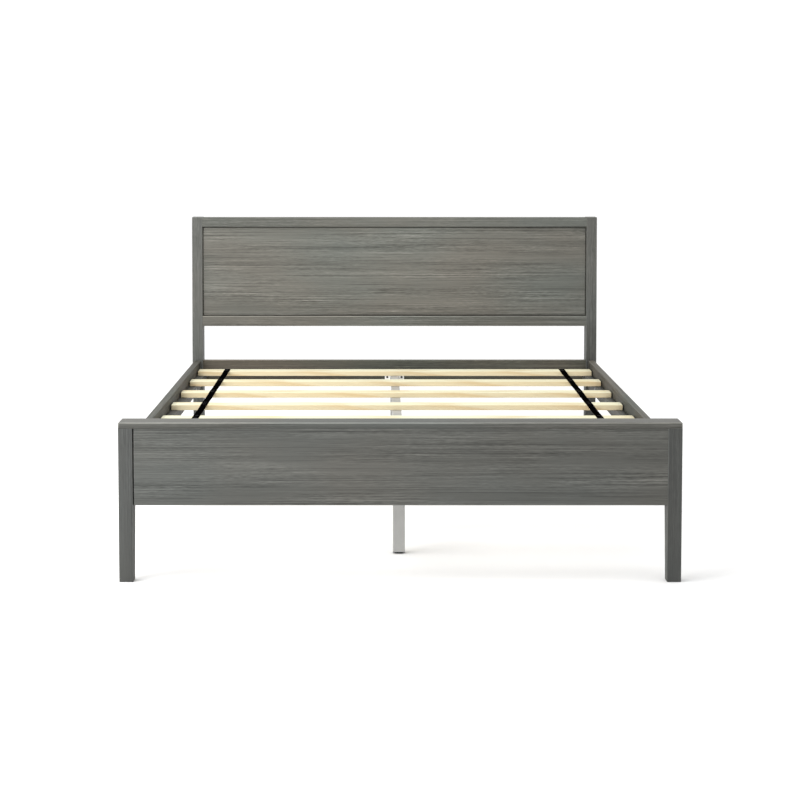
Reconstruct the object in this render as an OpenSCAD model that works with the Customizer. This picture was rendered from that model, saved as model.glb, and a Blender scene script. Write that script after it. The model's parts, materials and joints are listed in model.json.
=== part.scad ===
// Wooden slatted bed frame with a steel centre rail, for a 1500 x 2000 mm mattress.
// +X is the bed's right seen from its foot end, +Y points to the headboard, +Z is up.
// The origin is on the floor under the middle of the bed.

/* [Overall size] */
// Width across the outsides of the posts
bed_w = 1580; // [1480:10:1680]
// Length from the footboard's front to the headboard's back
bed_l = 2208; // [2150:2:2300]
// Height of the headboard
head_h = 942; // [900:1:1050]
// Height of the footboard
foot_h = 452; // [440:1:480]

/* [Posts] */
// Width of a post across the bed
post_w = 40; // [36:1:50]
// Depth of every post at the floor
post_foot_d = 40; // [36:1:50]
// Depth of a footboard post at its top
foot_post_d = 86; // [76:1:96]
// Depth of a headboard post at the height of the side rails
head_post_d = 84; // [76:1:96]
// How far the headboard's face leans back between the side rails and its top
head_lean = 17; // [0:1:25]

/* [Headboard] */
// Height of the top rail's lower edge
head_top_rail_z = 905; // [860:1:905]
// Height of the lower rail's lower edge
head_low_rail_z = 517; // [500:1:540]
// Height of the lower rail's upper edge
head_low_rail_top = 556; // [545:1:575]
// Thickness of the two rails
head_rail_t = 30; // [26:1:40]
// Width of the shadow gap around the panel
head_panel_gap = 5; // [3:0.5:8]
// Depth of the panel's face behind the rails' faces
head_panel_inset = 8; // [5:0.5:10]

/* [Footboard] */
// Thickness of the board on top
foot_cap_t = 17; // [15:1:25]
// Height of the panel's lower edge
foot_panel_z = 218; // [180:1:250]
// Thickness of the panel
foot_panel_t = 22; // [18:1:25]
// Depth of the panel's face behind the posts' faces
foot_panel_inset = 1.5; // [1:0.5:10]
// Width of the shadow rebate at the panel's left end
foot_rebate_w = 3.5; // [1:0.5:4]

/* [Side rails] */
// Height of the side rails' upper edge
rail_top = 382; // [378:1:390]
// Height of the side rails themselves
rail_h = 111; // [108:1:120]
// Thickness of the side rails
rail_t = 23; // [22:1:25]
// Thickness of the cross rail under the headboard
cross_rail_t = 30; // [28:1:36]
// Height of the cross rail
cross_rail_h = 92; // [85:1:100]

/* [Slats] */
// Width of a slat
slat_w = 70; // [60:1:80]
// Thickness of a slat
slat_t = 18; // [14:1:20]
// Distance from one slat to the next
slat_pitch = 312; // [250:2:314]
// Gap between the headboard posts and the first slat
first_slat_gap = 82; // [70:1:90]
// Height of the slats' undersides
slat_z = 340; // [338:1:344]
// Distance of the webbing straps from the middle
strap_x = 645; // [500:5:690]
// Width of the webbing straps
strap_w = 22; // [15:1:25]

/* [Centre rail and legs] */
// Width of the steel tube
tube_w = 30; // [25:1:35]
// Height of the steel tube
tube_h = 40; // [35:1:45]
// Wall thickness of the steel tubes
tube_wall = 1.5; // [1.2:0.1:2]
// Width of the square legs
leg_w = 36; // [32:1:40]
// Distance of the front leg behind the footboard's front
leg_front_y = 386; // [330:1:420]
// How far a levelling foot screws out
foot_travel = 12; // [5:1:15]

/* [Hidden] */
$fn = 48;

// Colours
grey_wood = "#75756e";
pine = "#e9dcb4";
steel = "#c9c9c4";
bright_steel = "#b0b2b4";
dark_steel = "#2b2b2d";
black = "#16161a";
beech = "#c8a878";

// Overall
head_y = bed_l / 2;
foot_y = -bed_l / 2;
inner_x = bed_w / 2 - post_w;
post_x = bed_w / 2 - post_w / 2;
SIDES = [-1, 1];

// Headboard: its face is y = head_face(z), tapering in the leg and leaning back above the side rails
function head_face(z) = z < rail_top
  ? head_y - post_foot_d - (head_post_d - post_foot_d) * z / rail_top
  : head_y - head_post_d + head_lean * (z - rail_top) / (head_h - rail_top);
// Footboard: the back of its posts tapers towards the floor
function foot_back(z) = foot_y + post_foot_d + (foot_post_d - post_foot_d) * z / foot_h;

tongue_l = 8;
tongue_t = 8;
groove_play = 0.1;
panel_field_t = 10;
tongue_setback = 6;
tongue_inset = head_panel_inset + tongue_setback;
panel_groove_z = [head_low_rail_top - tongue_l, head_top_rail_z + tongue_l];

// Footboard
cap_z = foot_h - foot_cap_t;
panel_mid_y = foot_y + foot_panel_inset + foot_panel_t / 2;
panel_back_y = foot_y + foot_panel_inset + foot_panel_t;
foot_rebate_d = 6;

// Side rails, a little outside the middle of the posts
rail_z = rail_top - rail_h;
rail_shift = 0.5;
rail_inner_x = post_x + rail_shift - rail_t / 2;
bolt_x = rail_inner_x + rail_t / 2;
// Distances of the bolts from the rail's lower and upper edges
bolt_edge = [24, 22];
bolt_levels = [rail_z + bolt_edge[0], rail_top - bolt_edge[1]];
bolt_r = 4;
// Distance of a pocket's middle from the rail's end, and length of a bolt inside the post and the pocket
bolt_back = 42;
bolt_grip = 48;
bolt_tail = 6.5;
pocket_r = 15;
rail_end_gap = 0.1;
pocket_depth = rail_t - 4;
washer_r = pocket_r - 0.4;
washer_w = 12;
// Distance of a washer's flat face from the pocket's middle
washer_face = 4;
nut_across_flats = 13;
nut_h = 6.5;

// Cross rail under the headboard: its upright face meets the posts' tapered fronts at its lower edge
cross_rail_z = rail_top - cross_rail_h;
cross_rail_y = head_face(cross_rail_z);

// Ledgers
ledger_w = 27;
ledger_h = 24;
ledger_x = rail_inner_x - ledger_w;
ledger_end_gap = 5;
ledger_span = [foot_back(slat_z) + ledger_end_gap, head_face(slat_z) - ledger_end_gap];
ledger_screw_l = 44;
ledger_screw_pitch = 380;
LEDGER_SCREW_Y = [for (i = [-2.5:2.5]) ledger_screw_pitch * i];

// Slats
slat_end_gap = 4;
slat_half_l = rail_inner_x - slat_end_gap;
function slat_back(i) = head_face(rail_top) - first_slat_gap - (i - 1) * slat_pitch;
slat_top = slat_z + slat_t;
SLATS = [1, 2, 3, 4, 5, 6, 7];
slat_screw_x = ledger_x + ledger_w / 2;
slat_screw_l = 34;

// Straps
strap_t = 1.4;
strap_margin = 4;
strap_span = [slat_back(max(SLATS)) - slat_w + strap_margin, slat_back(1) - strap_margin];
staple_w = 11;
staple_wire = 1;
staple_leg = 7;
staple_edge = 14;

// Fasteners
dowel_r = 4;
dowel_play = 0.1;
// Reach of a dowel into a rail or panel, and into a post
dowel_reach = [17, 16];
// Depths of the dowels behind the face of a headboard rail
HEAD_DOWEL_BACK = [8, 22];
// Heights of the dowels in the headboard's two rails, the cross rail and the footboard's panel
HEAD_DOWEL_Z = [head_h - 14, head_low_rail_z + 13];
CROSS_DOWEL_Z = [cross_rail_z + 23, cross_rail_z + 49];
FOOT_DOWEL_Z = [foot_panel_z + 37, foot_panel_z + 108, foot_h - 52];
cap_dowel_pitch = 400;
CAP_DOWEL_X = [for (i = [-1.5:1.5]) cap_dowel_pitch * i];
CAP_DOWEL_Y = [foot_y + 26, foot_y + 62];
// Reach of a dowel below and into the footboard's cap
cap_dowel_reach = [20, 10];
screw_r = 2;
screw_head_r = 4.2;
screw_head_h = 2.6;
screw_play = 0.05;
recess_l = 4.6;
recess_w = 1;
recess_h = 1.6;

// Centre rail
hanger_t = 2;
hanger_w = 75;
hanger_reach = 30;
hanger_screw_x = 28;
hanger_play = 0.4;
hanger_screw_l = 18;
hanger_head_h = 1.8;
tube_z = slat_z - tube_h;
tube_mid_z = slat_z - tube_h / 2;
// Height of the hanger screws, a little below the middle of the tube
hanger_screw_z = tube_mid_z - 4;
tube_corner_r = 2.5;
tube_end_gap = 1;
tube_span = [panel_back_y + hanger_t + tube_end_gap, cross_rail_y - hanger_t - tube_end_gap];
// Heights of the hanger's back above the tube, and of its saddle's sides below the tube's top
hanger_rise = 2;
saddle_drop = 6;

// Centre legs
plate_t = 3;
plate_l = 90;
leg_screw_pitch = 34;
leg_screw_r = 2.7;
leg_screw_reach = 10;
leg_screw_head = [4.6, 5];
leg_screw_washer = [6, 1];
leg_top = tube_z - plate_t;
leg_bottom = 6;
flange_t = 1.5;
plug_l = 28;
plug_wall = 2;
boss_r = 7;
rib_t = 2;
stud_r = 4;
stud_l = foot_travel + 18;
stud_play = 0.08;
pad_r = 13;
pad_h = leg_bottom - flange_t;
LEG_Y = [foot_y + leg_front_y, tube_span[1] - (foot_y + leg_front_y - tube_span[0])];

// ---- Shapes that repeat ----

// A board from x0 to x1 whose outline [y, z] is seen from the side
module board_x(x0, x1, outline) {
  translate([x0, 0, 0]) rotate([90, 0, 90]) linear_extrude(x1 - x0) polygon(outline);
}

// A box from one corner to the other
module block(low, high) {
  translate(low) cube(high - low);
}

// A rod along X, Y or Z, from a to b
module rod_x(a, b, y, z, r) {
  translate([min(a, b), y, z]) rotate([0, 90, 0]) cylinder(r = r, h = abs(b - a));
}
module rod_y(x, a, b, z, r) {
  translate([x, min(a, b), z]) rotate([-90, 0, 0]) cylinder(r = r, h = abs(b - a));
}
module rod_z(x, y, a, b, r) {
  translate([x, y, min(a, b)]) cylinder(r = r, h = abs(b - a));
}

// A slice of the leaning headboard between two heights and two depths behind its face
module leaning_board(x_half, z0, z1, front, back) {
  board_x(-x_half, x_half, [
    [head_face(z0) + front, z0], [head_face(z0) + back, z0],
    [head_face(z1) + back, z1], [head_face(z1) + front, z1],
  ]);
}

// Hole for a countersunk wood screw that points down, from z = 0
module screw_hole(l) {
  translate([0, 0, -l - 1]) cylinder(r = screw_r + screw_play, h = l + 1);
  translate([0, 0, -screw_head_h - screw_play])
    cylinder(r1 = screw_r + screw_play, r2 = screw_head_r + 2 * screw_play, h = screw_head_h + screw_play);
}

// Cross recess in a screw head whose top is at z = 0
module cross_recess() {
  for (a = [0, 90]) rotate([0, 0, a])
    translate([-recess_l / 2, -recess_w / 2, -recess_h]) cube([recess_l, recess_w, recess_h + 1]);
}

// The screw itself
module wood_screw(l) {
  difference() {
    union() {
      translate([0, 0, -l]) cylinder(r = screw_r, h = l);
      translate([0, 0, -screw_head_h]) cylinder(r1 = screw_r, r2 = screw_head_r, h = screw_head_h);
    }
    cross_recess();
  }
}

// A rectangle with rounded corners, centred
module round_rect(w, h, r) {
  square([w - 2 * r, h], center = true);
  square([w, h - 2 * r], center = true);
  for (x = SIDES, y = SIDES) translate([x * (w / 2 - r), y * (h / 2 - r)]) circle(r = r);
}

// A dowel across the joint between a post and what stands between the posts
module side_dowel(side, y, z, r, extra) {
  rod_x(side * (inner_x - dowel_reach[0] - extra), side * (inner_x + dowel_reach[1] + extra), y, z, r);
}

// ---- Headboard ----

// Dowels that join the three headboard rails to the posts, or with extra length the holes for them
module head_dowel_set(side, r, extra) {
  for (z = HEAD_DOWEL_Z, back = HEAD_DOWEL_BACK) side_dowel(side, head_face(z) + back, z, r, extra);
  for (z = CROSS_DOWEL_Z) side_dowel(side, cross_rail_y + cross_rail_t / 2, z, r, extra);
}

module headboard_dowels() {
  color(beech) for (side = SIDES) head_dowel_set(side, dowel_r, 0);
}

module head_dowel_holes() {
  for (side = SIDES) head_dowel_set(side, dowel_r + dowel_play, 1);
}

// Groove for the panel's tongue, cut into posts and rails
module panel_groove() {
  leaning_board(inner_x + tongue_l + 0.5, panel_groove_z[0] - 0.5, panel_groove_z[1] + 0.5,
    tongue_inset - groove_play, tongue_inset + tongue_t + groove_play);
}

module headboard_post(side) {
  x = [side * inner_x, side * bed_w / 2];
  color(grey_wood) difference() {
    board_x(min(x), max(x), [
      [head_face(0), 0], [head_y, 0], [head_y, head_h],
      [head_face(head_h), head_h], [head_face(rail_top), rail_top],
    ]);
    panel_groove();
    head_dowel_holes();
    rail_bolt_holes(side);
  }
}
module headboard_post_left() { headboard_post(-1); }
module headboard_post_right() { headboard_post(1); }

module headboard_top_rail() {
  color(grey_wood) difference() {
    leaning_board(inner_x, head_top_rail_z, head_h, 0, head_rail_t);
    panel_groove();
    head_dowel_holes();
  }
}

module headboard_lower_rail() {
  color(grey_wood) difference() {
    leaning_board(inner_x, head_low_rail_z, head_low_rail_top, 0, head_rail_t);
    panel_groove();
    head_dowel_holes();
  }
}

// A raised field inside a shadow gap, on a thinner tongue that sits in the grooves
module headboard_panel() {
  color(grey_wood) union() {
    leaning_board(inner_x - head_panel_gap, head_low_rail_top + head_panel_gap,
      head_top_rail_z - head_panel_gap, head_panel_inset, head_panel_inset + panel_field_t);
    leaning_board(inner_x + tongue_l, panel_groove_z[0], panel_groove_z[1],
      tongue_inset, tongue_inset + tongue_t);
  }
}

module headboard_cross_rail() {
  color(grey_wood) difference() {
    block([-inner_x, cross_rail_y, cross_rail_z], [inner_x, cross_rail_y + cross_rail_t, rail_top]);
    head_dowel_holes();
    at_hanger_screws(1) screw_hole(hanger_screw_l);
  }
}

// ---- Footboard ----

module cap_dowel(x, y, r, extra) {
  rod_z(x, y, cap_z - cap_dowel_reach[0] - extra, cap_z + cap_dowel_reach[1], r);
}

// Dowels that join the footboard's panel to its posts, and its cap to both
module foot_dowel_set(r, extra) {
  for (side = SIDES) {
    for (z = FOOT_DOWEL_Z) side_dowel(side, panel_mid_y, z, r, extra);
    for (y = CAP_DOWEL_Y) cap_dowel(side * post_x, y, r, extra);
  }
  for (x = CAP_DOWEL_X) cap_dowel(x, panel_mid_y, r, extra);
}

module footboard_dowels() {
  color(beech) foot_dowel_set(dowel_r, 0);
}

module foot_dowel_holes() { foot_dowel_set(dowel_r + dowel_play, 1); }

module footboard_post(side) {
  x = [side * inner_x, side * bed_w / 2];
  color(grey_wood) difference() {
    board_x(min(x), max(x), [[foot_y, 0], [foot_back(0), 0], [foot_back(cap_z), cap_z], [foot_y, cap_z]]);
    foot_dowel_holes();
    rail_bolt_holes(side);
  }
}
module footboard_post_left() { footboard_post(-1); }
module footboard_post_right() { footboard_post(1); }

module footboard_cap() {
  color(grey_wood) difference() {
    block([-bed_w / 2, foot_y, cap_z], [bed_w / 2, foot_y + foot_post_d, foot_h]);
    foot_dowel_holes();
  }
}

module footboard_panel() {
  front = foot_y + foot_panel_inset;
  color(grey_wood) difference() {
    block([-inner_x, front, foot_panel_z], [inner_x, panel_back_y, cap_z]);
    block([-inner_x - 1, front - 1, foot_panel_z - 1],
      [-inner_x + foot_rebate_w, front + foot_rebate_d, cap_z + 1]);
    foot_dowel_holes();
    at_hanger_screws(-1) screw_hole(hanger_screw_l);
  }
}

// ---- Side rails and their bolts ----

// Where a rail's end meets its post at height z, for the head end (1) and the foot end (-1)
function rail_end(end, z) = end > 0 ? head_face(z) : foot_back(z);
function pocket_y(end, z) = rail_end(end, z) - end * bolt_back;

// Threaded rods from the posts into the pockets of the rails
module rail_bolt_set(side, r, extra) {
  for (end = SIDES, z = bolt_levels)
    rod_y(side * bolt_x, pocket_y(end, z) - end * bolt_tail,
      rail_end(end, z) + end * (bolt_grip + extra), z, r);
}

module rail_bolts() {
  color(bright_steel) for (side = SIDES) rail_bolt_set(side, bolt_r, 0);
}

module rail_bolt_holes(side) { rail_bolt_set(side, bolt_r + 0.1, 1); }

module side_rail(side) {
  x = [side * rail_inner_x, side * (rail_inner_x + rail_t)];
  color(grey_wood) difference() {
    board_x(min(x), max(x), [
      [foot_back(rail_z) + rail_end_gap, rail_z], [head_face(rail_z) - rail_end_gap, rail_z],
      [head_face(rail_top) - rail_end_gap, rail_top], [foot_back(rail_top) + rail_end_gap, rail_top],
    ]);
    rail_bolt_set(side, bolt_r + 0.5, 1);
    for (end = SIDES, z = bolt_levels)
      rod_x(side * (rail_inner_x - 1), side * (rail_inner_x + pocket_depth), pocket_y(end, z), z, pocket_r);
    at_ledger_screws(side) screw_hole(ledger_screw_l);
  }
}
module side_rail_left() { side_rail(-1); }
module side_rail_right() { side_rail(1); }

// Half-moon washers fill the end side of each pocket
module rail_washers() {
  color(bright_steel) for (side = SIDES, end = SIDES, z = bolt_levels) difference() {
    intersection() {
      rod_x(side * bolt_x - washer_w / 2, side * bolt_x + washer_w / 2, pocket_y(end, z), z, washer_r);
      translate([side * bolt_x, pocket_y(end, z) + end * (washer_face + pocket_r / 2), z])
        cube([washer_w + 2, pocket_r, 2 * pocket_r], center = true);
    }
    rod_y(side * bolt_x, pocket_y(end, z) - pocket_r, pocket_y(end, z) + pocket_r, z, bolt_r + 0.4);
  }
}

module rail_nuts() {
  color(bright_steel) for (side = SIDES, end = SIDES, z = bolt_levels) difference() {
    translate([side * bolt_x, pocket_y(end, z) + end * (washer_face - nut_h / 2), z])
      rotate([90, 0, 0]) cylinder(r = nut_across_flats / 2 / cos(30), h = nut_h, center = true, $fn = 6);
    rod_y(side * bolt_x, pocket_y(end, z) - pocket_r, pocket_y(end, z) + pocket_r, z, bolt_r + 0.1);
  }
}

// ---- Ledgers ----

// Places what is given at each screw of a ledger, pointing into the side rail
module at_ledger_screws(side) {
  for (y = LEDGER_SCREW_Y)
    translate([side * ledger_x, y, slat_z - ledger_h / 2]) rotate([0, -90 * side, 0]) children();
}

module ledger_screws() {
  color(bright_steel) for (side = SIDES) at_ledger_screws(side) wood_screw(ledger_screw_l);
}

module ledger(side) {
  x = [side * ledger_x, side * rail_inner_x];
  color(grey_wood) difference() {
    block([min(x), ledger_span[0], slat_z - ledger_h], [max(x), ledger_span[1], slat_z]);
    at_ledger_screws(side) screw_hole(ledger_screw_l);
    at_slat_screws(SLATS) screw_hole(slat_screw_l);
  }
}
module ledger_left() { ledger(-1); }
module ledger_right() { ledger(1); }

// ---- Slats, straps and staples ----

// Places what is given at both end screws of each slat, pointing down
module at_slat_screws(slats) {
  for (i = slats, side = SIDES)
    translate([side * slat_screw_x, slat_back(i) - slat_w / 2, slat_top]) children();
}

module slat_screws() {
  color(bright_steel) at_slat_screws(SLATS) wood_screw(slat_screw_l);
}

// Two staples hold each strap on each slat
module staple_set(slats, play) {
  for (i = slats, side = SIDES, edge = [-staple_edge, -slat_w + staple_edge])
    translate([side * strap_x, slat_back(i) + edge, slat_top + strap_t]) {
      translate([-staple_w / 2, -staple_wire / 2, 0]) cube([staple_w, staple_wire, staple_wire]);
      for (leg = SIDES) translate([leg * (staple_w - staple_wire) / 2, 0, -staple_leg / 2 + 0.01])
        cube([staple_wire + play, staple_wire + play, staple_leg + play], center = true);
    }
}

module strap_staples() {
  color(dark_steel) staple_set(SLATS, 0);
}

module slat(i) {
  color(pine) difference() {
    block([-slat_half_l, slat_back(i) - slat_w, slat_z], [slat_half_l, slat_back(i), slat_top]);
    at_slat_screws([i]) screw_hole(slat_screw_l);
    staple_set([i], 0.1);
  }
}
module slat_1() { slat(1); }
module slat_2() { slat(2); }
module slat_3() { slat(3); }
module slat_4() { slat(4); }
module slat_5() { slat(5); }
module slat_6() { slat(6); }
module slat_7() { slat(7); }

module strap(side) {
  x = side * strap_x;
  color(black) difference() {
    block([x - strap_w / 2, strap_span[0], slat_top], [x + strap_w / 2, strap_span[1], slat_top + strap_t]);
    staple_set(SLATS, 0.1);
  }
}
module strap_left() { strap(-1); }
module strap_right() { strap(1); }

// ---- Centre rail and its hangers ----

module center_rail() {
  color(steel) difference() {
    translate([0, tube_span[1], tube_mid_z]) rotate([90, 0, 0])
      linear_extrude(tube_span[1] - tube_span[0]) difference() {
        round_rect(tube_w, tube_h, tube_corner_r);
        round_rect(tube_w - 2 * tube_wall, tube_h - 2 * tube_wall, tube_corner_r - tube_wall);
      }
    leg_screw_set(leg_screw_r + screw_play);
  }
}

// Places what is given at both screws of the hanger at one end, pointing down into the wood
module at_hanger_screws(end) {
  face = end > 0 ? cross_rail_y : panel_back_y;
  for (side = SIDES) translate([side * hanger_screw_x, face - end * hanger_t, hanger_screw_z])
    rotate([end * 90, 0, 0]) children();
}

// Round-headed screws
module hanger_screws() {
  color(dark_steel) for (end = SIDES) at_hanger_screws(end) difference() {
    union() {
      translate([0, 0, -hanger_screw_l]) cylinder(r = screw_r, h = hanger_screw_l);
      cylinder(r1 = screw_head_r, r2 = screw_head_r - 1.2, h = hanger_head_h);
    }
    translate([0, 0, hanger_head_h]) cross_recess();
  }
}

// A back plate with a U-shaped saddle that the tube drops into; built facing -Y from y = 0
module hanger_shape() {
  ear_x = tube_w / 2 + hanger_play;
  low = tube_z - hanger_t;
  difference() {
    union() {
      block([-hanger_w / 2, -hanger_t, low], [hanger_w / 2, 0, slat_z + hanger_rise]);
      block([-ear_x - hanger_t, -hanger_reach, low], [ear_x + hanger_t, 0, tube_z]);
      for (side = SIDES) {
        x = [side * ear_x, side * (ear_x + hanger_t)];
        block([min(x), -hanger_reach, low], [max(x), 0, slat_z - saddle_drop]);
      }
    }
    for (side = SIDES) rod_y(side * hanger_screw_x, -10, 1, hanger_screw_z, screw_r + 0.3);
  }
}

module rail_hanger_head() {
  color(steel) translate([0, cross_rail_y, 0]) hanger_shape();
}
module rail_hanger_foot() {
  color(steel) translate([0, panel_back_y, 0]) mirror([0, 1, 0]) hanger_shape();
}

// ---- Centre legs ----

// Screw shanks through the legs' top plates into the tube's lower wall
module leg_screw_set(r) {
  for (y = LEG_Y, s = SIDES) rod_z(0, y + s * leg_screw_pitch, leg_top - 1, tube_z + leg_screw_reach, r);
}

module leg_screws() {
  color(bright_steel) {
    leg_screw_set(leg_screw_r);
    for (y = LEG_Y, s = SIDES) translate([0, y + s * leg_screw_pitch, leg_top]) {
      translate([0, 0, -leg_screw_head[1]]) cylinder(r = leg_screw_head[0], h = leg_screw_head[1], $fn = 6);
      translate([0, 0, -leg_screw_washer[1]]) cylinder(r = leg_screw_washer[0], h = leg_screw_washer[1]);
    }
  }
}

module center_leg(y) {
  wide = leg_w / 2;
  color(steel) difference() {
    union() {
      translate([0, y, leg_bottom]) linear_extrude(leg_top - leg_bottom)
        round_rect(leg_w, leg_w, tube_corner_r);
      block([-wide, y - plate_l / 2, leg_top], [wide, y + plate_l / 2, tube_z]);
    }
    translate([0, y, leg_bottom - 1]) linear_extrude(leg_top - leg_bottom + 1)
      round_rect(leg_w - 2 * tube_wall, leg_w - 2 * tube_wall, tube_corner_r - tube_wall);
    leg_screw_set(leg_screw_r + 0.1);
  }
}
module center_leg_front() { center_leg(LEG_Y[0]); }
module center_leg_back() { center_leg(LEG_Y[1]); }

// A ribbed insert with a flange, threaded for the foot's stud
module leg_plug(y) {
  body = leg_w / 2 - tube_wall - 0.1;
  color(black) translate([0, y, 0]) difference() {
    union() {
      translate([0, 0, leg_bottom - flange_t]) linear_extrude(flange_t)
        round_rect(leg_w, leg_w, tube_corner_r);
      translate([0, 0, leg_bottom]) linear_extrude(plug_l) difference() {
        round_rect(2 * body, 2 * body, 1);
        square(2 * (body - plug_wall), center = true);
      }
      rod_z(0, 0, leg_bottom, leg_bottom + plug_l, boss_r);
      for (a = [0, 90]) rotate([0, 0, a])
        block([-body, -rib_t / 2, leg_bottom], [body, rib_t / 2, leg_bottom + plug_l - 4]);
    }
    rod_z(0, 0, -1, leg_bottom + plug_l + 1, stud_r + stud_play);
  }
}
module leg_plug_front() { leg_plug(LEG_Y[0]); }
module leg_plug_back() { leg_plug(LEG_Y[1]); }

// A round pad on a threaded stud
module levelling_foot(y) {
  color(black) translate([0, y, 0]) rotate_extrude() polygon([
    [0, 0], [pad_r - 1, 0], [pad_r, 1], [pad_r, pad_h - 1], [pad_r - 1, pad_h],
    [stud_r, pad_h], [stud_r, pad_h + stud_l - 1], [stud_r - 1, pad_h + stud_l], [0, pad_h + stud_l],
  ]);
}
module levelling_foot_front() { levelling_foot(LEG_Y[0]); }
module levelling_foot_back() { levelling_foot(LEG_Y[1]); }

headboard_post_left();
headboard_post_right();
headboard_top_rail();
headboard_lower_rail();
headboard_panel();
headboard_cross_rail();
headboard_dowels();
footboard_post_left();
footboard_post_right();
footboard_cap();
footboard_panel();
footboard_dowels();
side_rail_left();
side_rail_right();
rail_bolts();
rail_washers();
rail_nuts();
ledger_left();
ledger_right();
ledger_screws();
slat_1();
slat_2();
slat_3();
slat_4();
slat_5();
slat_6();
slat_7();
slat_screws();
strap_left();
strap_right();
strap_staples();
center_rail();
rail_hanger_head();
rail_hanger_foot();
hanger_screws();
center_leg_front();
center_leg_back();
leg_screws();
leg_plug_front();
leg_plug_back();
levelling_foot_front();
levelling_foot_back();
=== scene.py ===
import json
import math

import bmesh
import bpy
from mathutils import Matrix, Vector
from mathutils.bvhtree import BVHTree

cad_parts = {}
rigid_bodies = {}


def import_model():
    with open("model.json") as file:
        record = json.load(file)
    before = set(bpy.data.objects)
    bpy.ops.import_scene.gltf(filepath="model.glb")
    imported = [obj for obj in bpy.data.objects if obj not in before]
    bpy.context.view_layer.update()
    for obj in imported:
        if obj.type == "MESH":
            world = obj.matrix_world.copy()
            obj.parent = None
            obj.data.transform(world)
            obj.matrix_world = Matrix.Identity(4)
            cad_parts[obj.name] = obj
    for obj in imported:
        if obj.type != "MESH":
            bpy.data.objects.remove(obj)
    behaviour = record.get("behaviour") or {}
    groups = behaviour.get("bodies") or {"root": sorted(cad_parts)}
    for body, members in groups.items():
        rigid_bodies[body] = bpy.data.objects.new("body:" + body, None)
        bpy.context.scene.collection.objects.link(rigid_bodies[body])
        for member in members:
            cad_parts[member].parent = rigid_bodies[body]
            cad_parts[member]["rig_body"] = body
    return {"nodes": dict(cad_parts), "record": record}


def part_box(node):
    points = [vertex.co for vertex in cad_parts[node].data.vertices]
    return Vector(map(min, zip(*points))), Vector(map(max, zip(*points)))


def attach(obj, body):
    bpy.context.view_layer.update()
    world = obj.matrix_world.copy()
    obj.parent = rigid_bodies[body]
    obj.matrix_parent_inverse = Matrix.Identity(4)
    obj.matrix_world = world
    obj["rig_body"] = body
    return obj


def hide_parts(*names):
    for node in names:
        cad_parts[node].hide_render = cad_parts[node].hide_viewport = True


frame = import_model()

NODES = frame["nodes"]
BODY_OF = {n: o["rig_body"] for n, o in NODES.items()}
SLOT_OF = {s["node"]: s["material_slot"] for s in frame["record"]["subparts"]}
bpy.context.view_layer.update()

# How far a texture's place moves for each step of a material's seed, so that boards differ
SEED_STEP = (3.71, 1.93, 2.47)


# ---------------------------------------------------------------- node graphs

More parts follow.
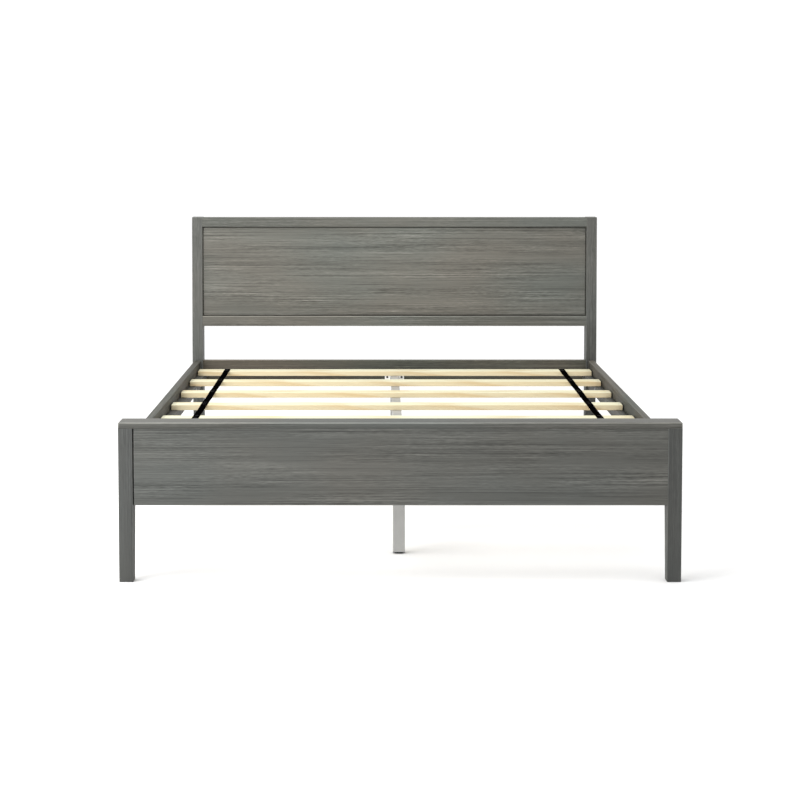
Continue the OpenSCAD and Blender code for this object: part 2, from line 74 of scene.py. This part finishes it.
class Graph:
    """A material's node graph, built with short calls."""

    def __init__(self, name):
        self.material = bpy.data.materials.new(name)
        self.material.use_nodes = True
        self.tree = self.material.node_tree
        self.shader = self.tree.nodes["Principled BSDF"]
        self.output = self.tree.nodes["Material Output"]

    def add(self, kind, inputs=(), **settings):
        """A node with its settings, and with inputs given as values or as other nodes' outputs."""
        node = self.tree.nodes.new(kind)
        for key, value in settings.items():
            setattr(node, key, value)
        for key, value in dict(inputs).items():
            if isinstance(value, bpy.types.NodeSocket):
                self.tree.links.new(value, node.inputs[key])
            else:
                node.inputs[key].default_value = value
        return node

    def math(self, operation, a, b=0.0, clamp=False):
        return self.add("ShaderNodeMath", {0: a, 1: b}, operation=operation, use_clamp=clamp).outputs[0]

    def vector(self, operation, a, b=(0, 0, 0)):
        return self.add("ShaderNodeVectorMath", {0: a, 1: b}, operation=operation).outputs[0]

    def scaled(self, vector, factor):
        node = self.add("ShaderNodeVectorMath", {0: vector, "Scale": factor}, operation="SCALE")
        return node.outputs[0]

    def noise(self, vector, detail=2.0, roughness=0.5, scale=1.0, out="Fac"):
        inputs = {"Vector": vector, "Scale": scale, "Detail": detail, "Roughness": roughness}
        return self.add("ShaderNodeTexNoise", inputs).outputs[out]

    def ramp(self, value, stops, interpolation="LINEAR"):
        """A colour ramp with stops of (place, colour), a colour being a grey value or (r, g, b)."""
        node = self.add("ShaderNodeValToRGB", {"Fac": value})
        ramp = node.color_ramp
        ramp.interpolation = interpolation
        while len(ramp.elements) < len(stops):
            ramp.elements.new(0.5)
        for element, (place, colour) in zip(ramp.elements, stops):
            element.position = place
            rgb = (colour,) * 3 if isinstance(colour, (int, float)) else colour
            element.color = (*rgb, 1)
        return node.outputs["Color"]

    def mix(self, factor, a, b, blend="MIX"):
        node = self.add("ShaderNodeMix", data_type="RGBA", blend_type=blend)
        for socket, value in ((0, factor), (6, a), (7, b)):
            if isinstance(value, bpy.types.NodeSocket):
                self.tree.links.new(value, node.inputs[socket])
            elif socket:
                node.inputs[socket].default_value = (*value, 1)
            else:
                node.inputs[socket].default_value = value
        return node.outputs[2]

    def remap(self, value, start, end, low, high):
        """A value of start to end spread over low to high, and held there outside it."""
        inputs = {"Value": value, "From Min": start, "From Max": end, "To Min": low, "To Max": high}
        return self.add("ShaderNodeMapRange", inputs).outputs[0]

    def span(self, value, low, high):
        """A value of 0 to 1 spread over low to high."""
        return self.remap(value, 0.0, 1.0, low, high)

    def bump(self, height, distance, strength=1.0):
        node = self.add("ShaderNodeBump", {"Height": height, "Distance": distance, "Strength": strength})
        self.tree.links.new(node.outputs[0], self.shader.inputs["Normal"])

    def place(self, seed=0):
        """Position in the object, in metres, shifted by a seed so that pieces differ."""
        here = self.add("ShaderNodeTexCoord").outputs["Object"]
        return self.vector("ADD", here, tuple(seed * step for step in SEED_STEP))

    def along(self, axis, seed=0):
        """Like place(), with the grain's direction as the first coordinate."""
        parts = self.add("ShaderNodeSeparateXYZ", {0: self.place(seed)}).outputs
        order = {"X": (0, 1, 2), "Y": (1, 0, 2), "Z": (2, 0, 1)}[axis]
        return self.add("ShaderNodeCombineXYZ", {i: parts[k] for i, k in enumerate(order)}).outputs[0]

    def finish(self, **inputs):
        """Sets the shader's sockets and returns the material."""
        for key, value in inputs.items():
            socket = self.shader.inputs[key.replace("_", " ")]
            if isinstance(value, bpy.types.NodeSocket):
                self.tree.links.new(value, socket)
            else:
                socket.default_value = (*value, 1) if isinstance(value, tuple) else value
        return self.material


# ---------------------------------------------------------------- materials

HALF = (0.5, 0.5, 0.5)
# Weight of each layer of grain, and its scale along and across the board: wide bands, then lines and flecks
GRAIN_BANDS = [
    (0.36, (0.6, 9, 9)),
    (0.20, (0.9, 27, 27)),
]
GRAIN_LINES = [
    (0.11, (1.5, 80, 80)),
    (0.52, (1.3, 310, 310)),
    (0.40, (9.0, 520, 520)),
    (0.42, (42.0, 760, 760)),
]
# The stain's colour from the darkest to the palest grain
GREY_STAIN = [
    (0.20, (0.050, 0.051, 0.046)),
    (0.42, (0.092, 0.094, 0.087)),
    (0.58, (0.128, 0.130, 0.121)),
    (0.80, (0.190, 0.191, 0.178)),
]
# Painted light and shade: parts of boards made darker or paler where light falls less or more on them,
# by side, by height or towards the right. Each entry: the start of the board's name, a texture coordinate
# and its part, where the change starts and ends, and the factor there. Every entry that fits a board counts
PAINTED_LIGHT_AND_SHADE = [
    ("side_rail_right", "Normal", "X", -0.3, -0.8, 0.62),
    ("headboard_panel", "Object", "X", 0.0, 0.75, 0.86),
    ("headboard_top", "Object", "X", 0.0, 0.75, 0.88),
    ("headboard_lower", "Object", "X", 0.0, 0.75, 0.80),
    ("headboard_cross", "Object", "Z", 0.370, 0.342, 0.67),
    ("headboard_cross", "Normal", "Z", 0.3, 0.8, 1.5),
    ("headboard_post", "Object", "Z", 0.360, 0.320, 0.78),
    ("headboard_post_right", "Object", "Z", 0.560, 0.500, 0.68),
    ("footboard_post_left", "Normal", "X", 0.3, 0.8, 0.72),
    ("footboard_post_right", "Normal", "X", -0.3, -0.8, 1.3),
]


def grain_sum(g, p, layers):
    """The layers' noises, each centred on 0 and weighted, added up."""
    total = 0.0
    for weight, stretch in layers:
        layer = g.noise(g.vector("MULTIPLY", p, stretch), 1.0, 0.55)
        centred = g.math("SUBTRACT", layer, 0.5)
        total = g.math("ADD", total, g.math("MULTIPLY", centred, weight))
    return total


def grey_wood(name, axis, seed, tone_and_shade, warmth, contrast, edge_highlight):
    """Grey wood grain along an axis: bands, long lines and flecks, calm and lively areas, tinted patches,
    a painted highlight that makes the eased edges paler by a factor, and painted light and shade by side,
    height and place."""
    g = Graph(name)
    p = g.along(axis, seed)
    drift = g.noise(g.vector("MULTIPLY", p, (0.9, 2.0, 2.0)), 1.0, out="Color")
    drift = g.vector("MULTIPLY", g.vector("SUBTRACT", drift, HALF), (0, 0.006, 0.006))
    p = g.vector("ADD", p, drift)
    bands = grain_sum(g, p, GRAIN_BANDS)
    lines = grain_sum(g, p, GRAIN_LINES)
    life = g.remap(g.noise(g.vector("MULTIPLY", p, (2.6, 20, 20)), 1.0), 0.3, 0.7, 0.15, 1.9)
    grain = g.math("ADD", bands, g.math("MULTIPLY", lines, life))
    shade = g.math("ADD", 0.5, g.math("MULTIPLY", grain, contrast))
    stain = g.ramp(shade, [(place, tuple(tone_and_shade * c for c in colour)) for place, colour in GREY_STAIN])
    patches = g.noise(g.vector("MULTIPLY", p, (1.7, 4, 4)), 2.0)
    cool = (0.972, 1.0, 1.0 - warmth)
    warm = (1.028 + warmth, 0.992, 0.955 - warmth)
    colour = g.mix(1.0, stain, g.ramp(patches, [(0.36, cool), (0.64, warm)]), "MULTIPLY")
    veins = g.noise(g.vector("MULTIPLY", p, (1.6, 300, 300)), 1.0, 0.4)
    streaks = g.ramp(veins, [(0.31, 0.68), (0.37, 1.0), (0.66, 1.0), (0.71, 1.16)])
    colour = g.mix(contrast, colour, g.mix(1.0, colour, streaks, "MULTIPLY"))
    pores = g.noise(g.vector("MULTIPLY", p, (9, 900, 900)), 1.0)
    colour = g.mix(1.0, colour, g.ramp(pores, [(0.30, 0.76), (0.38, 1.0)]), "MULTIPLY")
    # Painted highlight: the eased edges made paler, as where they catch the light
    eased = g.add("ShaderNodeAttribute", attribute_name="eased").outputs["Fac"]
    colour = g.mix(eased, colour, g.mix(1.0, colour, (edge_highlight, edge_highlight, edge_highlight), "MULTIPLY"))
    # Painted light and shade from the table above, laid over the stain
    for board, source, part, start, end, factor in PAINTED_LIGHT_AND_SHADE:
        if name.startswith(board):
            coordinate = g.add("ShaderNodeTexCoord").outputs[source]
            where = g.add("ShaderNodeSeparateXYZ", {0: coordinate}).outputs[part]
            colour = g.mix(1.0, colour, g.remap(where, start, end, 1.0, factor), "MULTIPLY")
    g.bump(g.math("ADD", lines, g.math("MULTIPLY", pores, 0.6)), 0.0005, 0.3)
    return g.finish(Base_Color=colour, Roughness=g.span(patches, 0.66, 0.5), Specular_IOR_Level=0.22)


# Growth rings of the pine, in each metre from the heart
RINGS_PER_METRE = 260.0


def pine(name, seed):
    """Clear planed pine along X: growth rings round a heart below the board, and a fibrous surface."""
    g = Graph(name)
    p = g.along("X", seed)
    low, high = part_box(name)
    middle = (low + high) / 2
    heart_y = middle.y + seed * SEED_STEP[1] + 0.02 * math.sin(seed * 2.3)
    heart_z = middle.z + seed * SEED_STEP[2] - 0.05
    wander = g.noise(g.vector("MULTIPLY", p, (1.1, 5, 5)), 2.0, out="Color")
    wander = g.vector("MULTIPLY", g.vector("SUBTRACT", wander, HALF), (0, 0.03, 0.03))
    radial = g.vector("MULTIPLY", g.vector("SUBTRACT", p, (0, heart_y, heart_z)), (0.010, 1, 1))
    radial = g.vector("ADD", radial, wander)
    radius = g.add("ShaderNodeVectorMath", {0: radial}, operation="LENGTH").outputs["Value"]
    ring_shade = g.math("FRACT", g.math("MULTIPLY", radius, RINGS_PER_METRE))
    wood = g.ramp(ring_shade, [
        (0.0, (0.635, 0.625, 0.465)),
        (0.5, (0.625, 0.605, 0.44)),
        (0.86, (0.58, 0.52, 0.345)),
        (1.0, (0.63, 0.615, 0.455)),
    ], "EASE")
    fibres = g.noise(g.vector("MULTIPLY", p, (14, 900, 900)), 3.0, 0.6)
    wood = g.mix(0.55, wood, g.ramp(fibres, [(0.3, 0.84), (0.6, 1.0)]), "MULTIPLY")
    warm = g.noise(g.vector("MULTIPLY", p, (1.5, 5, 5)), 2.0)
    wood = g.mix(1.0, wood, g.ramp(warm, [(0.3, (1.0, 1.01, 1.02)), (0.7, (1.0, 0.955, 0.88))]), "MULTIPLY")
    # Painted shade: the sides of a slat darker and warmer than its top
    normal = g.add("ShaderNodeTexCoord").outputs["Normal"]
    upward = g.add("ShaderNodeSeparateXYZ", {0: normal}).outputs["Z"]
    wood = g.mix(1.0, wood, g.ramp(upward, [(0.3, (0.94, 0.84, 0.77)), (0.8, (1.0, 1.0, 1.0))]), "MULTIPLY")
    g.bump(g.math("ADD", fibres, g.math("MULTIPLY", ring_shade, -0.4)), 0.0004, 0.4)
    return g.finish(Base_Color=wood, Roughness=g.span(fibres, 0.75, 0.55), Specular_IOR_Level=0.35)


def beech(name):
    """Plain beech with its short dark flecks."""
    g = Graph(name)
    p = g.along("X")
    flecks = g.noise(g.vector("MULTIPLY", p, (160, 900, 900)), 2.0)
    shades = [(0.35, (0.36, 0.21, 0.10)), (0.5, (0.56, 0.38, 0.21)), (0.8, (0.62, 0.44, 0.26))]
    colour = g.ramp(flecks, shades)
    g.bump(flecks, 0.0003, 0.4)
    return g.finish(Base_Color=colour, Roughness=0.6)


# Distance between the webbing's warp threads, and between its ribs
WARP = 0.0016
RIB = 0.0024


def webbing(name):
    """Black woven tape, with fuzz on its threads."""
    g = Graph(name)
    parts = g.add("ShaderNodeSeparateXYZ", {0: g.place()}).outputs
    across = g.math("SINE", g.math("MULTIPLY", parts[0], 2 * math.pi / WARP))
    lengthwise = g.math("SINE", g.math("MULTIPLY", parts[1], 2 * math.pi / RIB))
    weave = g.math("MULTIPLY", across, lengthwise)
    fuzz = g.noise(g.place(), 3.0, scale=900)
    height = g.math("ADD", g.math("MULTIPLY", weave, 0.5), g.math("MULTIPLY", fuzz, 0.8))
    threads = [(0.0, 0.0003), (0.5, 0.0009), (1.0, (0.0035, 0.0035, 0.0036))]
    colour = g.ramp(g.span(weave, 0.3, 0.9), threads)
    g.bump(height, 0.0003, 0.7)
    return g.finish(Base_Color=colour, Roughness=g.span(fuzz, 0.6, 0.85), Specular_IOR_Level=0.0)


def zinc(name):
    """Bright zinc plating, clouded and slightly yellow."""
    g = Graph(name)
    cloud = g.noise(g.place(), 4.0, 0.6, scale=260)
    shades = [(0.3, (0.42, 0.42, 0.42)), (0.55, (0.62, 0.62, 0.61)), (0.75, (0.68, 0.67, 0.60))]
    colour = g.ramp(cloud, shades)
    g.bump(g.noise(g.place(), 2.0, scale=1500), 0.00005, 0.5)
    return g.finish(Base_Color=colour, Metallic=1.0, Roughness=g.span(cloud, 0.22, 0.5))


def black_oxide(name):
    """Blackened steel, slightly worn."""
    g = Graph(name)
    wear = g.noise(g.place(), 4.0, 0.6, scale=420)
    colour = g.ramp(wear, [(0.4, (0.018, 0.018, 0.020)), (0.75, (0.05, 0.048, 0.045))])
    g.bump(wear, 0.00005, 0.4)
    dullness = g.span(wear, 0.6, 0.45)
    return g.finish(Base_Color=colour, Metallic=0.4, Roughness=dullness, Specular_IOR_Level=0.3)


def galvanised(name):
    """Galvanised sheet with its crystal pattern."""
    g = Graph(name)
    crystal = g.add("ShaderNodeTexVoronoi", {"Vector": g.place(), "Scale": 150.0}).outputs["Color"]
    shade = g.add("ShaderNodeSeparateColor", {0: crystal}).outputs[0]
    colour = g.ramp(shade, [(0.0, (0.74, 0.74, 0.72)), (1.0, (0.86, 0.86, 0.83))])
    scuffs = g.noise(g.vector("MULTIPLY", g.place(), (40, 700, 60)), 3.0)
    g.bump(scuffs, 0.0001, 0.3)
    return g.finish(Base_Color=colour, Metallic=0.5, Roughness=g.span(shade, 0.42, 0.6))


def powder_coat(name, tone_and_shade=1.0):
    """Light grey powder coat: fine orange peel, faint handling marks."""
    g = Graph(name)
    peel = g.noise(g.place(), 2.0, 0.5, scale=1100)
    marks = g.noise(g.place(), 5.0, 0.7, scale=14)
    shades = [(0.35, (0.36, 0.36, 0.352)), (0.6, (0.395, 0.395, 0.385)), (0.8, (0.41, 0.41, 0.40))]
    colour = g.ramp(marks, [(place, tuple(tone_and_shade * c for c in shade)) for place, shade in shades])
    g.bump(peel, 0.0002, 0.35)
    return g.finish(Base_Color=colour, Roughness=g.span(marks, 0.5, 0.36), Coat_Weight=0.1)


def black_plastic(name):
    """Moulded black plastic with a fine spark-eroded texture."""
    g = Graph(name)
    grain = g.noise(g.place(), 3.0, 0.6, scale=1800)
    wear = g.noise(g.place(), 4.0, scale=60)
    colour = g.ramp(wear, [(0.35, (0.010, 0.010, 0.011)), (0.7, (0.022, 0.022, 0.023))])
    g.bump(grain, 0.00015, 0.5)
    return g.finish(Base_Color=colour, Roughness=g.span(wear, 0.4, 0.58))


# ---------------------------------------------------------------- pieces

def set_material(piece, *materials):
    piece.data.materials.clear()
    for material in materials:
        piece.data.materials.append(material)


def new_piece(name, bm, body="frame", stands_for=()):
    """An object from a bmesh, riding on a body."""
    mesh = bpy.data.meshes.new(name)
    bm.to_mesh(mesh)
    bm.free()
    piece = bpy.data.objects.new(name, mesh)
    bpy.context.scene.collection.objects.link(piece)
    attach(piece, body)
    if stands_for:
        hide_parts(*stands_for)
    return piece


# Corners this close are one corner, and faces this close in angle are one face
SAME_PLACE = 2e-6
SAME_PLANE = math.radians(0.5)


def cleaned(node):
    """A CAD node's mesh with its flat faces whole again."""
    bm = bmesh.new()
    bm.from_mesh(NODES[node].data)
    bmesh.ops.remove_doubles(bm, verts=bm.verts, dist=SAME_PLACE)
    bmesh.ops.dissolve_limit(bm, angle_limit=SAME_PLANE, verts=bm.verts, edges=bm.edges)
    bm.normal_update()
    return bm


# Places along an edge where contact is tested, and the gap that still counts as contact
TESTED_AT = (0.04, 0.27, 0.5, 0.73, 0.96)
TOUCHING = 0.0003


def in_contact(edge, axis, others):
    """True where an edge lies against another board, all along if it follows the grain, else midway."""
    a, b = (v.co for v in edge.verts)
    follows = abs((b - a).normalized()["XYZ".index(axis)]) > 0.9
    places = TESTED_AT if follows else (0.5,)
    return all(any(tree.find_nearest(a.lerp(b, t), TOUCHING)[0] for tree in others) for t in places)


def eased_copy(node, kind, ease, left_sharp, long_edge=0.012):
    """A piece in place of its CAD node, with its long outside edges rounded over by the width ease."""
    bm = cleaned(node)
    chosen = [
        e for e in bm.edges
        if len(e.link_faces) == 2 and e.is_convex and e.calc_length() > long_edge
        and e.calc_face_angle() > math.radians(4) and not left_sharp(e)
    ]
    eased = bm.faces.layers.float.new("eased")
    made = bmesh.ops.bevel(bm, geom=chosen, offset=ease, offset_type="OFFSET", segments=3, profile=0.5,
                           affect="EDGES", clamp_overlap=False)
    for face in made["faces"]:
        face[eased] = 1.0
    piece = new_piece(f"{node}_{kind}", bm, BODY_OF[node], [node])
    piece.data.shade_smooth()
    piece.modifiers.new("even_shading", "WEIGHTED_NORMAL")
    return piece


def by_start(table, node, default):
    """The table's value for the first key that the node's name starts with."""
    return next((value for start, value in table.items() if node.startswith(start)), default)


def cap_underside(edge):
    return max(v.co.z for v in edge.verts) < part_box("footboard_cap")[0].z + 0.001


# Painted highlight: how much paler eased edges are, unless a board's entry says otherwise
EDGE_HIGHLIGHT_DEFAULT = 1.26
# Looks of the boards by the start of their names: the first that fits counts. A board that isn't listed has
# its grain along X, edges eased by 1.6 mm, a tone and contrast of 1, no warmth, and a painted highlight
# that makes its eased edges paler by the default factor above
GRAIN_AXIS = {"side_rail": "Y", "ledger": "Y", "headboard_post": "Z", "footboard_post": "Z"}
EASE = {
    "footboard_cap": 0.003, "headboard_panel": 0.0012, "headboard_post": 0.0016, "headboard_lower": 0.0028,
    "headboard": 0.002, "slat": 0.002, "side_rail": 0.0025,
}
# Tones, some of them painted light and shade: the headboard's boards paler than the footboard's, the left
# side rail and the right footboard post darker than their partners, and the headboard's cross rail darker,
# as painted shade under the slats
TONE_AND_PAINTED_SHADE = {
    "headboard_cross": 0.655, "headboard_post": 0.77, "headboard_top": 0.97, "headboard_lower": 0.91,
    "headboard": 1.05, "footboard_post_right": 0.515, "footboard_post": 0.53, "footboard_cap": 0.80,
    "footboard": 0.73, "side_rail_left": 0.51, "side_rail_right": 0.61, "ledger": 0.50,
}
WARMTH = {
    "headboard_cross": 0.14, "headboard_post": -0.01, "headboard": 0.035, "side": 0.10,
    "footboard_post": -0.03,
}
CONTRAST = {
    "headboard_post": 0.6, "footboard_post": 0.6, "headboard_top": 0.8, "headboard_lower": 0.8,
    "footboard_cap": 0.6, "footboard_panel": 0.95,
}
# Painted highlight on the eased edges: how much paler they are on these boards
EDGE_HIGHLIGHT = {
    "footboard_cap": 2.1, "headboard_lower": 1.75, "headboard_post": 1.5, "headboard_top": 1.0,
    "footboard_post": 1.5, "side_rail": 1.6,
}
# The tables of looks, each with its value for a board that isn't listed
LOOKS = ((TONE_AND_PAINTED_SHADE, 1.0), (WARMTH, 0.0), (CONTRAST, 1.0), (EDGE_HIGHLIGHT, EDGE_HIGHLIGHT_DEFAULT))
BOARDS = sorted(n for n in NODES if SLOT_OF[n] in ("grey_wood", "pine"))
SURFACES = {n: BVHTree.FromPolygons([v.co for v in NODES[n].data.vertices],
                                    [p.vertices for p in NODES[n].data.polygons]) for n in BOARDS}
for number, node in enumerate(BOARDS):
    axis = by_start(GRAIN_AXIS, node, "X")
    others = [tree for name, tree in SURFACES.items() if name != node]

    def stays_sharp(edge):
        return in_contact(edge, axis, others) or (node == "footboard_cap" and cap_underside(edge))

    board = eased_copy(node, "board", by_start(EASE, node, 0.0016), stays_sharp)
    if SLOT_OF[node] == "pine":
        set_material(board, pine(node, number + 1))
    else:
        looks = [by_start(table, node, default) for table, default in LOOKS]
        set_material(board, grey_wood(node, axis, number + 1, *looks))

MADE = {
    "beech": beech("beech"),
    "zinc_hardware": zinc("zinc"),
    "galvanised_steel": galvanised("galvanised"),
    "painted_steel": powder_coat("powder_coat"),
    "black_plastic": black_plastic("black_plastic"),
    "black_steel": black_oxide("black_oxide"),
    "webbing": webbing("webbing"),
}
for node, cad in NODES.items():
    if SLOT_OF[node] in MADE:
        set_material(cad, MADE[SLOT_OF[node]])
# Painted shade: the centre rail's coat darker than the legs', for the shade under the slats
set_material(NODES["center_rail"], powder_coat("powder_coat_rail_shaded", 0.80))


# ---------------------------------------------------------------- threads, feet and welds

THREAD_PITCH = 0.00125
THREAD_DEPTH = 0.0006
# Rings of vertices for each turn of a thread and each ripple of a weld
RINGS_PER_WAVE = 6
# Depth and number of the grips round a foot pad's rim
GRIP_DEPTH = 0.0004
GRIPS = 36
# Thickness of a leg's top plate
PLATE_T = 0.003


def islands(node):
    """The lowest and highest corners of each separate solid in a node."""
    bm = cleaned(node)
    left, boxes = set(bm.verts), []
    while left:
        todo, found = [left.pop()], []
        while todo:
            vert = todo.pop()
            found.append(vert.co.copy())
            joined = {edge.other_vert(vert) for edge in vert.link_edges} & left
            left -= joined
            todo += joined
        boxes.append([Vector([pick(c[i] for c in found) for i in range(3)]) for pick in (min, max)])
    bm.free()
    return sorted(boxes, key=lambda box: tuple(box[0]))


def ring(bm, place, height, radius_at, sides):
    """A loop of vertices round a place's Z axis, with a radius for each angle."""
    angles = [2 * math.pi * i / sides for i in range(sides)]
    return [bm.verts.new(place @ Vector((radius_at(a) * math.cos(a), radius_at(a) * math.sin(a), height)))
            for a in angles]


def skin(bm, loops):
    """Joins loops into a tube and closes its ends."""
    for a, b in zip(loops, loops[1:]):
        for i in range(len(a)):
            j = (i + 1) % len(a)
            bm.faces.new((a[i], a[j], b[j], b[i]))
    bm.faces.new(reversed(loops[0]))
    bm.faces.new(loops[-1])


def threaded_rod(bm, place, length, radius, sides=20):
    """A rod along a place's Z axis, with a thread cut into it and a chamfer at both ends."""
    steps = int(length / THREAD_PITCH * RINGS_PER_WAVE)
    loops = []
    for step in range(steps + 1):
        z = length * step / steps
        chamfer = THREAD_DEPTH * max(0.0, 1 - min(z, length - z) / THREAD_PITCH)

        def radius_at(angle):
            wave = 0.5 + 0.5 * math.cos(2 * math.pi * z / THREAD_PITCH - angle)
            return radius - max(chamfer, THREAD_DEPTH * wave)

        loops.append(ring(bm, place, z, radius_at, sides))
    skin(bm, loops)


def rail_bolts():
    """Threaded rods in place of the plain ones."""
    bm = bmesh.new()
    for low, high in islands("rail_bolts"):
        middle = (low + high) / 2
        place = Matrix.Translation((middle.x, low.y, middle.z)) @ Matrix.Rotation(-math.pi / 2, 4, "X")
        threaded_rod(bm, place, high.y - low.y, (high.x - low.x) / 2)
    rods = new_piece("rail_bolts_threaded", bm, "frame", ["rail_bolts"])
    rods.data.shade_smooth()
    set_material(rods, MADE["zinc_hardware"])


def levelling_foot(node):
    """A moulded pad with a gripped rim, on a threaded steel stud."""
    low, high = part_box(node)
    middle = (low + high) / 2
    rim = (high.x - low.x) / 2
    points = [v.co for v in NODES[node].data.vertices]
    stud = min(math.hypot(p.x - middle.x, p.y - middle.y) for p in points if p.z > high.z - 0.002) + 0.001
    top = max(p.z for p in points if p.x - middle.x > 0.6 * rim)
    place = Matrix.Translation((middle.x, middle.y, low.z))
    # The pad's outline from the floor up: distance from the rim, height
    outline = [(-0.0022, 0.0), (-0.0008, 0.0002), (-0.0001, 0.0010), (0.0, 0.0016), (0.0, top - 0.0014),
               (-0.0003, top - 0.0006), (-0.0012, top - 0.0001), (-0.0024, top)]
    bm = bmesh.new()
    loops = []
    for inset, z in outline:
        def radius_at(angle):
            return rim + inset - GRIP_DEPTH * (0.5 - 0.5 * math.cos(GRIPS * angle))

        loops.append(ring(bm, place, z, radius_at, 6 * GRIPS))
    skin(bm, loops)
    pad = new_piece(f"{node}_pad", bm, BODY_OF[node], [node])
    set_material(pad, MADE["black_plastic"])
    bm = bmesh.new()
    threaded_rod(bm, Matrix.Translation((middle.x, middle.y, top - 0.001)), high.z - top + 0.001, stud)
    rod = new_piece(f"{node}_stud", bm, BODY_OF[node], [node])
    set_material(rod, MADE["zinc_hardware"])
    for piece in (pad, rod):
        piece.data.shade_smooth()
        piece.modifiers.new("even_shading", "WEIGHTED_NORMAL")


def weld_beads(node):
    """Rippled beads where a leg's tube meets its top plate."""
    low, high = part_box(node)
    half = (high.x - low.x) / 2
    plate_under = high.z - PLATE_T
    bead = 0.0021
    ripple = 0.0024
    reach = half - 0.002
    steps = int(2 * reach / ripple * RINGS_PER_WAVE)
    bm = bmesh.new()
    for side in (-1, 1):
        place = Matrix.Translation((-reach, (low.y + high.y) / 2 + side * half, plate_under))
        place = place @ Matrix.Rotation(math.pi / 2, 4, "Y")
        loops = []
        for step in range(steps + 1):
            x = 2 * reach * step / steps
            taper = min(1.0, 0.35 + min(x, 2 * reach - x) / 0.003)
            size = bead * taper * (1 + 0.16 * math.sin(2 * math.pi * x / ripple))
            loops.append(ring(bm, place, x, lambda a: size, 12))
        skin(bm, loops)
    bead_piece = new_piece(f"{node}_welds", bm, BODY_OF[node])
    bead_piece.data.shade_smooth()
    set_material(bead_piece, MADE["painted_steel"])


rail_bolts()
for node in NODES:
    if node.startswith("levelling_foot"):
        levelling_foot(node)
    if node.startswith("center_leg"):
        weld_beads(node)
for node, ease, long_edge in (("rail_hanger_head", 0.0005, 0.01), ("rail_hanger_foot", 0.0005, 0.01),
                              ("rail_nuts", 0.0004, 0.004), ("rail_washers", 0.0004, 0.006)):
    set_material(eased_copy(node, "part", ease, lambda edge: False, long_edge), MADE[SLOT_OF[node]])


# ---------------------------------------------------------------- straps

# How far the straps hang down between slats
SAG = 0.0012
# Height of a rib across a strap, and a strap's section: place across in widths, heights in thicknesses
RIB_HEIGHT = 0.06
STRAP_SECTION = [
    (-0.5, 0.4), (-0.49, 0.8), (-0.3, 0.896), (0, 0.8), (0.3, 0.896), (0.49, 0.8), (0.5, 0.4),
    (0.49, 0.032), (0, 0.0), (-0.49, 0.032),
]


def strap(side):
    """Woven tape over the slats: rounded edges, ribs across, and a slight sag between slats."""
    node = f"strap_{side}"
    low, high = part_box(node)
    thick, wide, long = high.z - low.z, high.x - low.x, high.y - low.y
    middle = (low.x + high.x) / 2
    slats = [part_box(n) for n in NODES if n.startswith("slat_") and SLOT_OF[n] == "pine"]
    slats.sort(key=lambda box: box[0].y)
    gaps = [(a[1].y, b[0].y) for a, b in zip(slats, slats[1:])]
    rows = int(long / (RIB / 2))
    bm = bmesh.new()
    rings = []
    for row in range(rows + 1):
        y = low.y + long * row / rows
        drop = sum(SAG * math.sin(math.pi * (y - start) / (end - start))
                   for start, end in gaps if start <= y <= end)
        rib = RIB_HEIGHT * (row % 2)
        heights = [thick * (w + rib if w > 0.5 else w) - drop for u, w in STRAP_SECTION]
        rings.append([bm.verts.new((middle + wide * u, y, low.z + height))
                      for (u, w), height in zip(STRAP_SECTION, heights)])
    skin(bm, rings)
    piece = new_piece(f"webbing_{side}", bm, "frame", [node])
    piece.data.shade_smooth()
    set_material(piece, MADE["webbing"])


for side in ("left", "right"):
    strap(side)


# ---------------------------------------------------------------- floor, light and camera

def floor():
    bpy.ops.mesh.primitive_plane_add(size=60)
    plane = bpy.context.object
    plane.name = "floor"
    g = Graph("floor")
    set_material(plane, g.finish(Base_Color=(0.87, 0.87, 0.87), Roughness=1.0, Specular_IOR_Level=0.0))


# Strength of the surround at the far left and the far right
SURROUND = (1.34, 1.02)


def world():
    """An even white surround, a little stronger on the left."""
    made = bpy.data.worlds.new("studio")
    bpy.context.scene.world = made
    made.use_nodes = True
    nodes, links = made.node_tree.nodes, made.node_tree.links
    direction = nodes.new("ShaderNodeTexCoord").outputs["Generated"]
    parts = nodes.new("ShaderNodeSeparateXYZ")
    links.new(direction, parts.inputs[0])
    strength = nodes.new("ShaderNodeMapRange")
    links.new(parts.outputs["X"], strength.inputs["Value"])
    span = {"From Min": -1.0, "From Max": 1.0, "To Min": SURROUND[0], "To Max": SURROUND[1]}
    for key, value in span.items():
        strength.inputs[key].default_value = value
    background = nodes["Background"]
    background.inputs["Color"].default_value = (1, 1, 1, 1)
    links.new(strength.outputs[0], background.inputs["Strength"])


def soft_light(name, at, aim, size, power):
    data = bpy.data.lights.new(name, "AREA")
    data.shape = "RECTANGLE"
    data.size, data.size_y = size
    data.energy = power
    lamp = bpy.data.objects.new(name, data)
    lamp.location = at
    lamp.rotation_euler = (Vector(aim) - Vector(at)).to_track_quat("-Z", "Y").to_euler()
    bpy.context.scene.collection.objects.link(lamp)


# Beyond the foot end, above the headboard's height and almost in the middle, looking slightly down
CAMERA_AT = (-0.0573, -6.3816, 1.2342)
CAMERA_PITCH = math.radians(3.903)
LENS = 85.62
SHIFT = (0.02525, -0.16)


def camera():
    data = bpy.data.cameras.new("camera")
    data.lens = LENS
    data.shift_x, data.shift_y = SHIFT
    seen_from = bpy.data.objects.new("camera", data)
    seen_from.location = CAMERA_AT
    seen_from.rotation_euler = (math.pi / 2 - CAMERA_PITCH, 0, 0)
    bpy.context.scene.collection.objects.link(seen_from)
    bpy.context.scene.camera = seen_from


floor()
world()
soft_light("overhead", (-1.5, -0.5, 3.0), (-0.2, 1.0, 0.6), (2.8, 2.8), 80)
soft_light("from_left", (-2.3, -2.7, 1.4), (-0.6, -1.0, 0.4), (1.8, 1.8), 47)
camera()
bpy.context.scene.view_settings.view_transform = "Standard"
